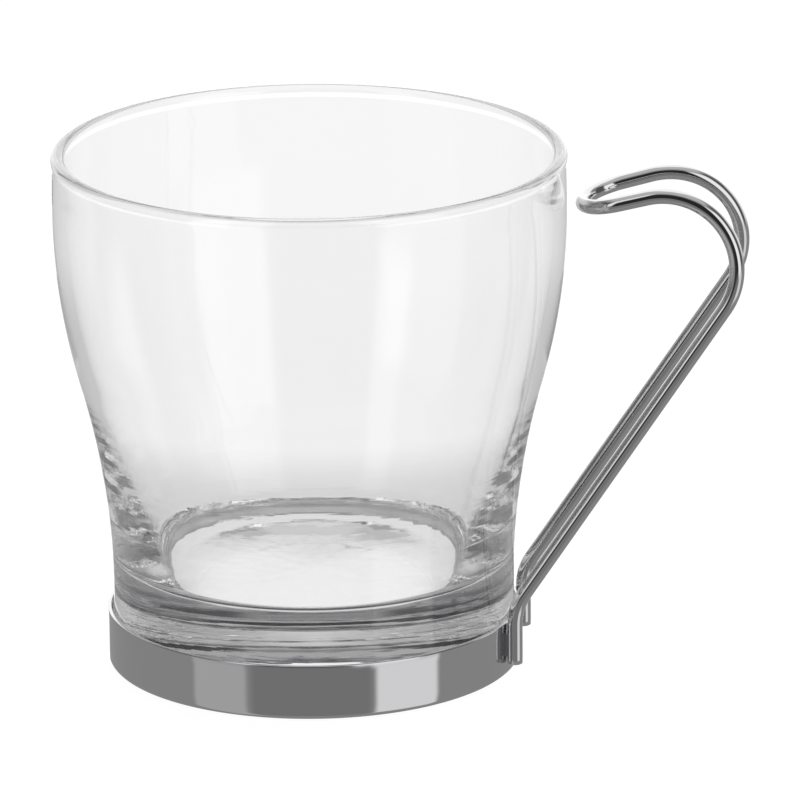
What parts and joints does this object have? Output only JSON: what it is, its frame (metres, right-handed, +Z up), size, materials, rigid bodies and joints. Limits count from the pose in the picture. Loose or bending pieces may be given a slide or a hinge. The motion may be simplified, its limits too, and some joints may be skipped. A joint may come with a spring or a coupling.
{
  "type": "tea glass with metal handle",
  "caption": "Flared clear tea glass with a thick foot, standing in a polished steel band with a welded hairpin wire handle.",
  "frame": {"origin": "on the glass's axis, in the plane of the band's underside that the cup stands on", "axes": "+X from the axis towards the handle, +Z up along the glass's axis, +Y to the left of the handle"},
  "size_m": [0.1145, 0.085, 0.0872],
  "materials": {
    "clear_glass": "clear pressed glass, smooth with faint waves in the thick foot",
    "polished_steel": "mirror-polished stainless sheet",
    "wire_steel": "bright polished stainless wire",
    "weld_steel": "dull cleaned weld metal"
  },
  "bodies": {
    "holder": {"base_band": "polished_steel", "handle_wire": "wire_steel", "handle_welds": "weld_steel"},
    "glass": {"glass_bowl": "clear_glass"}
  },
  "joints": [
    {"name": "glass_lift", "type": "slide", "parent": "holder", "child": "glass", "axis": [0, 0, 1], "range_m": [0, 0.09]}
  ]
}
